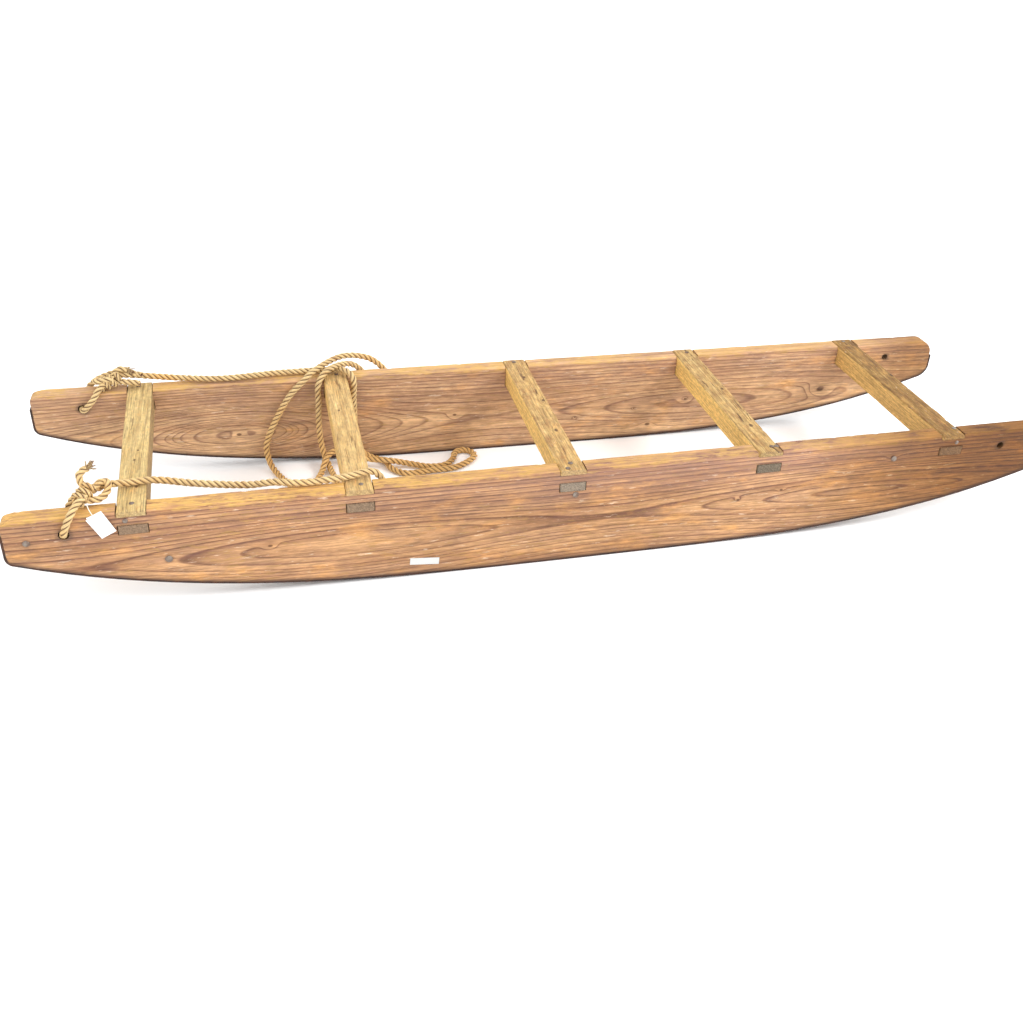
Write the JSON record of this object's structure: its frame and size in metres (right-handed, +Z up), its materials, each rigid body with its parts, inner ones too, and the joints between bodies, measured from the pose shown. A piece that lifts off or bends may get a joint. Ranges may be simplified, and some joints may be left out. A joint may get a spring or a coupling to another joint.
{
  "type": "wooden sled",
  "caption": "Old two-runner wooden sled with crossbars, iron-shod curved plank runners and a straw pull rope.",
  "frame": {"origin": "on the floor under the middle of the sled's bounding box, without the rope, its ties and the tag", "axes": "+Z up, +X towards the tail, so the nose and the pull rope are at -X; +Y towards the right runner, so the left runner is at -Y"},
  "size_m": [1.8582, 0.5139, 0.2369],
  "materials": {
    "weathered_wood": "satin",
    "pale_wood": "satin",
    "old_iron": "matte",
    "worn_nails": "satin",
    "straw": "matte",
    "card": "matte",
    "thread": "matte"
  },
  "bodies": {
    "root": {"runner_left": "weathered_wood", "runner_right": "weathered_wood", "crossbar_1": "pale_wood", "crossbar_2": "pale_wood", "crossbar_3": "pale_wood", "crossbar_4": "pale_wood", "crossbar_5": "pale_wood", "shoe_left": "old_iron", "shoe_right": "old_iron", "shoe_nails_left": "old_iron", "shoe_nails_right": "old_iron", "lip_nails_left": "worn_nails", "lip_nails_right": "worn_nails", "pin_nails_left": "worn_nails", "pin_nails_right": "worn_nails", "face_nails_left": "worn_nails", "pull_rope": "straw", "rope_tie_left": "straw", "rope_tie_right": "straw", "tag_thread": "thread", "price_tag": "card", "paper_label": "card"}
  },
  "joints": []
}
